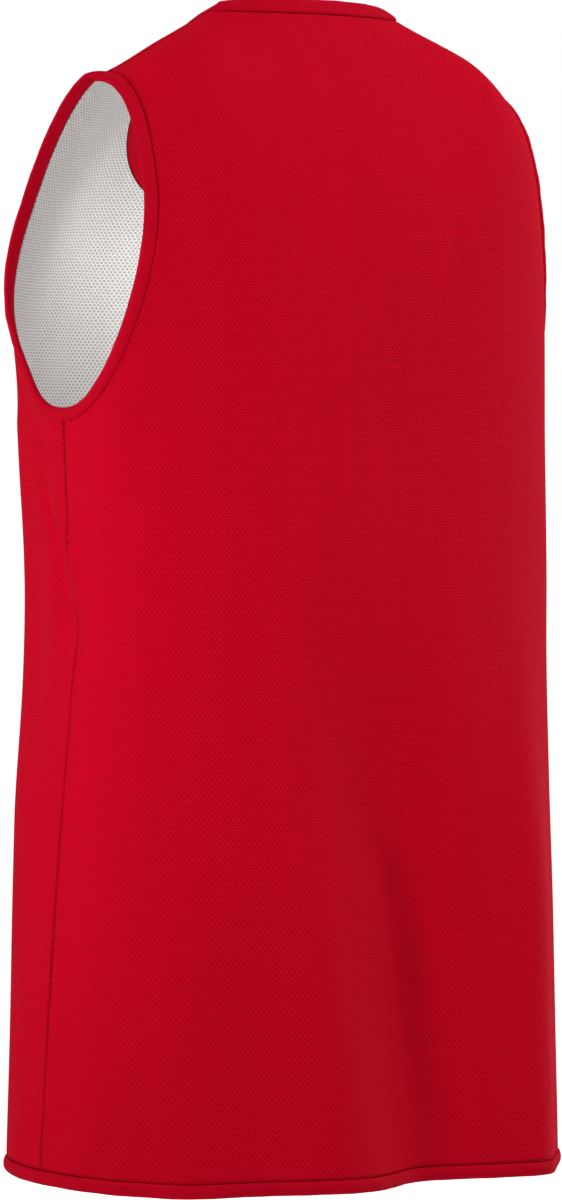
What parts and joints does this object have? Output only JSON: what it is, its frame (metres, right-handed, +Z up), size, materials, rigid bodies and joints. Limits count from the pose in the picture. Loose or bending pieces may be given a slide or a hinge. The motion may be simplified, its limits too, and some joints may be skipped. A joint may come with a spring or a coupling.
{
  "type": "basketball jersey",
  "caption": "Sleeveless reversible basketball jersey of two mesh layers, filled out as worn, with bound neck, armholes and hem.",
  "frame": {"origin": "midway between the two neck points of the shoulder line, where the wearer's shoulders hold the garment up", "axes": "+Z up the body, +X to the wearer's left, -Y to the front"},
  "size_m": [0.4266, 0.2593, 0.7918],
  "materials": {
    "outer_mesh": "red polyester micro-mesh with fine dimples",
    "lining_mesh": "white polyester mesh",
    "band_knit": "plain red polyester knit"
  },
  "bodies": {
    "root": {"front_panel": "outer_mesh", "back_panel": "outer_mesh", "front_lining": "lining_mesh", "back_lining": "lining_mesh", "neck_band": "band_knit", "armhole_band_left": "band_knit", "armhole_band_right": "band_knit", "hem_band": "band_knit"}
  },
  "joints": []
}
